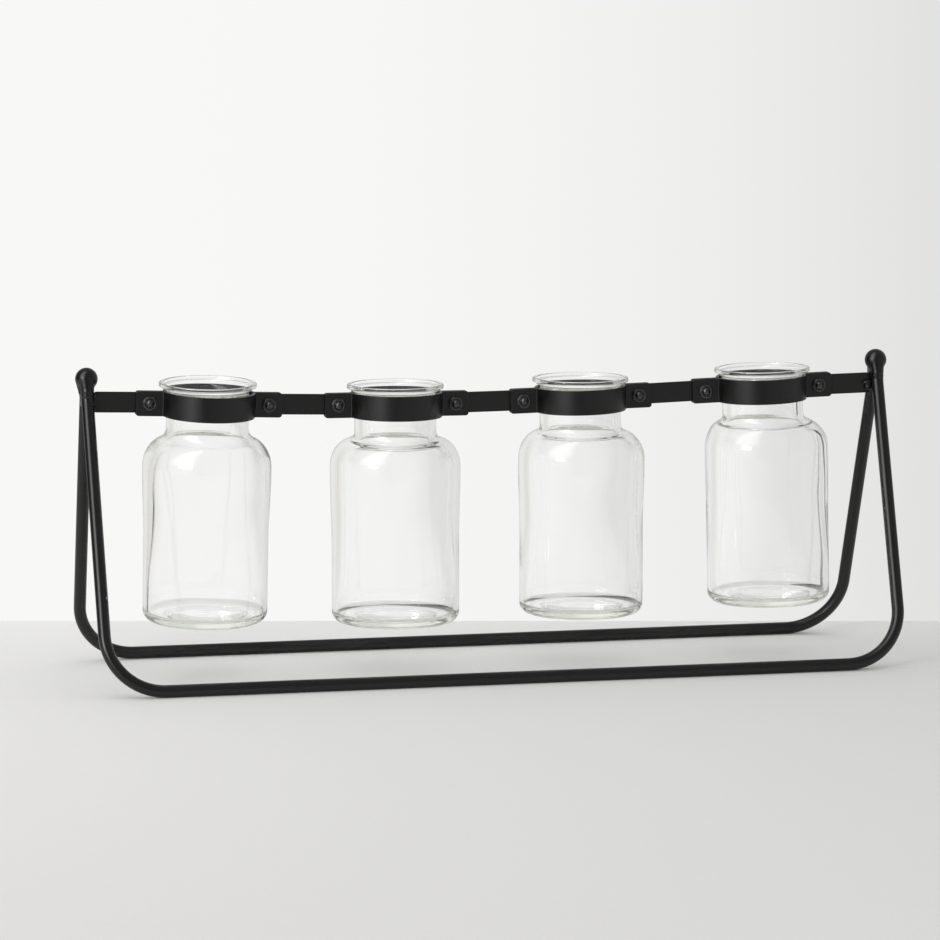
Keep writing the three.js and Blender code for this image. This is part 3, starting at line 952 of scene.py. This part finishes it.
def table_material():
    """Pale, with painted light: brighter on the left and at the back, where more light falls."""
    material, nodes, links, output = node_material("table")
    place = nodes.new("ShaderNodeTexCoord").outputs["Object"]
    surface = nodes.new("ShaderNodeBsdfPrincipled")
    surface.inputs["Roughness"].default_value = 0.9
    surface.inputs["Specular IOR Level"].default_value = 0.1
    links.new(surface.outputs["BSDF"], output.inputs["Surface"])
    split = nodes.new("ShaderNodeSeparateXYZ")
    links.new(place, split.inputs[0])
    side = ramp_node(nodes, links, split.outputs["X"], (-0.22, 0.22, 0.0, 1.0))
    depth = ramp_node(nodes, links, split.outputs["Y"], (-0.55, 0.12, 0.0, 1.0))
    near = mix_node(nodes, links, side, *TABLE_NEAR_PAINTED_LIGHT)
    far = mix_node(nodes, links, side, *TABLE_FAR_PAINTED_LIGHT)
    links.new(mix_node(nodes, links, depth, near, far), surface.inputs["Base Color"])
    grain = noise_node(nodes, links, place, 260.0, detail=5.0, roughness=0.65)
    links.new(bump_node(nodes, links, grain, 0.25, 0.0006), surface.inputs["Normal"])
    return material


def make_table():
    """Its edges lie in line with the camera's view."""
    corners = [(-TABLE_HALF_WIDTH, -TABLE_FRONT), (TABLE_HALF_WIDTH, -TABLE_FRONT),
               (TABLE_HALF_WIDTH, TABLE_BACK), (-TABLE_HALF_WIDTH, TABLE_BACK)]
    mesh = bpy.data.meshes.new("table")
    mesh.from_pydata([Vector((x, y, 0)) * MM for x, y in corners], [], [(0, 1, 2, 3)])
    mesh.materials.append(table_material())
    table = bpy.data.objects.new("table", mesh)
    table.rotation_euler.z = -CAMERA_YAW
    bpy.context.scene.collection.objects.link(table)


def reach_node(nodes, links, direction, axis):
    """How far a direction goes along an axis."""
    product = nodes.new("ShaderNodeVectorMath")
    product.operation = "DOT_PRODUCT"
    product.inputs[1].default_value = axis
    links.new(direction, product.inputs[0])
    return product.outputs["Value"]


def level_node(nodes, links, direction):
    """A direction without its rise, so that only its heading counts."""
    flat = nodes.new("ShaderNodeVectorMath")
    flat.operation = "MULTIPLY"
    flat.inputs[1].default_value = (1, 1, 0)
    links.new(direction, flat.inputs[0])
    unit = nodes.new("ShaderNodeVectorMath")
    unit.operation = "NORMALIZE"
    links.new(flat.outputs["Vector"], unit.inputs[0])
    return unit.outputs["Vector"]


# Tones of the wall behind, with painted light that is brightest on the left, and how fast it falls off
WALL_LEFT = (0.94, 0.94, 0.93)
WALL_RIGHT = (0.76, 0.765, 0.755)
WALL_ASIDE = (0.78, 0.765, 0.73)  # far to the left of the camera's view
WALL_LIGHT_FALL = 2.6

# Strengths of the room that gloss sees
ROOM_LEFT = 0.04
ROOM_RIGHT = 0.52
ROOM_WALL = 0.7
ROOM_CEILING = 0.45
WINDOW_GLOW = 1.5
WINDOW_TOP_GLOW = 5.0
WINDOW_TOP = (0.25, 0.42)  # rises of a direction between which the glow grows
WINDOW_AZIMUTH = math.radians(57)  # from the front towards the left
WINDOW_CORE = math.radians(9)
WINDOW_EDGE = math.radians(30)

EVEN_LIGHT = 0.84


def wall_tone(nodes, links, rightward):
    """The pale wall, with painted light that falls off towards the right."""
    across = ramp_node(nodes, links, rightward, (-VIEW_HALF_WIDTH, VIEW_HALF_WIDTH, 0.0, 1.0))
    fall = nodes.new("ShaderNodeMath")
    fall.operation = "POWER"
    fall.inputs[1].default_value = WALL_LIGHT_FALL
    links.new(across, fall.inputs[0])
    wall = mix_node(nodes, links, fall.outputs[0], WALL_LEFT, WALL_RIGHT)
    aside = ramp_node(nodes, links, rightward, (-0.25, -0.7, 0.0, 1.0))
    return mix_node(nodes, links, aside, wall, WALL_ASIDE)


def room_strength(nodes, links, direction, rightward, backward):
    """A dim room in front, darkest on the left, then the bright wall, the ceiling and a window."""
    upward = reach_node(nodes, links, direction, (0, 0, 1))
    room = ramp_node(nodes, links, rightward, (-0.1, 0.45, ROOM_LEFT, ROOM_RIGHT))
    room = ramp_node(nodes, links, backward, (0.2, 0.8, room, ROOM_WALL))
    room = ramp_node(nodes, links, upward, (0.3, 0.9, room, ROOM_CEILING))
    window = (-math.sin(WINDOW_AZIMUTH), -math.cos(WINDOW_AZIMUTH), 0)
    towards_window = reach_node(nodes, links, level_node(nodes, links, direction), window)
    glow = ramp_node(nodes, links, upward, (*WINDOW_TOP, WINDOW_GLOW, WINDOW_TOP_GLOW))
    edge_to_core = (math.cos(WINDOW_EDGE), math.cos(WINDOW_CORE), room, glow)
    return ramp_node(nodes, links, towards_window, edge_to_core)


def make_world():
    """Diffuse rays meet even light, gloss the room. The camera and the glass see the wall."""
    world = bpy.data.worlds.new("studio")
    bpy.context.scene.world = world
    world.use_nodes = True
    nodes, links = world.node_tree.nodes, world.node_tree.links
    nodes.clear()
    output = nodes.new("ShaderNodeOutputWorld")
    direction = nodes.new("ShaderNodeTexCoord").outputs["Generated"]
    rightward = reach_node(nodes, links, direction, (math.cos(CAMERA_YAW), -math.sin(CAMERA_YAW), 0))
    backward = reach_node(nodes, links, direction, (math.sin(CAMERA_YAW), math.cos(CAMERA_YAW), 0))
    even = nodes.new("ShaderNodeBackground")
    even.inputs["Color"].default_value = (1.0, 1.0, 1.0, 1)
    even.inputs["Strength"].default_value = EVEN_LIGHT
    room = nodes.new("ShaderNodeBackground")
    links.new(room_strength(nodes, links, direction, rightward, backward), room.inputs["Strength"])
    wall = nodes.new("ShaderNodeBackground")
    links.new(wall_tone(nodes, links, rightward), wall.inputs["Color"])

    path = nodes.new("ShaderNodeLightPath")
    seen = nodes.new("ShaderNodeMath")
    seen.operation = "MAXIMUM"
    links.new(path.outputs["Is Camera Ray"], seen.inputs[0])
    links.new(path.outputs["Is Transmission Ray"], seen.inputs[1])
    unseen = switch_node(nodes, links, path.outputs["Is Glossy Ray"], even.outputs[0], room.outputs[0])
    surface = switch_node(nodes, links, seen.outputs[0], unseen, wall.outputs[0])
    links.new(surface, output.inputs["Surface"])


KEY_AZIMUTH = math.radians(51.8)  # from the front towards the left
KEY_ELEVATION = math.radians(13.0)
KEY_DISTANCE = 2000
KEY_SIZE = (600, 240)  # width and height
KEY_POWER = 9.0
LAMP_AIM = (0, 0, 80)


def make_lamp(name, azimuth, elevation, distance, size, power):
    """A softbox that faces the stand."""
    aim = Vector(LAMP_AIM) * MM
    away = Vector((
        -math.sin(azimuth) * math.cos(elevation),
        -math.cos(azimuth) * math.cos(elevation),
        math.sin(elevation),
    ))
    data = bpy.data.lights.new(name, "AREA")
    data.shape = "RECTANGLE"
    data.size, data.size_y = size[0] * MM, size[1] * MM
    data.energy = power
    lamp = bpy.data.objects.new(name, data)
    lamp.location = aim + away * distance * MM
    lamp.rotation_euler = (-away).to_track_quat("-Z", "Y").to_euler()
    bpy.context.scene.collection.objects.link(lamp)


GLASS_BOUNCES = 32


def let_light_through(cycles):
    """Light bounces often between the skins of thick glass before it comes out."""
    cycles.max_bounces = GLASS_BOUNCES
    cycles.glossy_bounces = GLASS_BOUNCES
    cycles.transmission_bounces = GLASS_BOUNCES


def make_camera():
    data = bpy.data.cameras.new("camera")
    data.sensor_fit = "HORIZONTAL"
    data.sensor_width = SENSOR_WIDTH
    data.lens = FOCAL_PIXELS * SENSOR_WIDTH / PHOTO_PIXELS
    data.clip_end = 50.0
    camera = bpy.data.objects.new("camera", data)
    camera.location = Vector(CAMERA_PLACE) * MM
    camera.rotation_euler = (QUARTER - CAMERA_PITCH, 0, -CAMERA_YAW)
    bpy.context.scene.collection.objects.link(camera)
    bpy.context.scene.camera = camera


make_table()
make_world()
make_lamp("key", KEY_AZIMUTH, KEY_ELEVATION, KEY_DISTANCE, KEY_SIZE, KEY_POWER)
make_camera()
bpy.context.scene.view_settings.view_transform = "Standard"
let_light_through(bpy.context.scene.cycles)
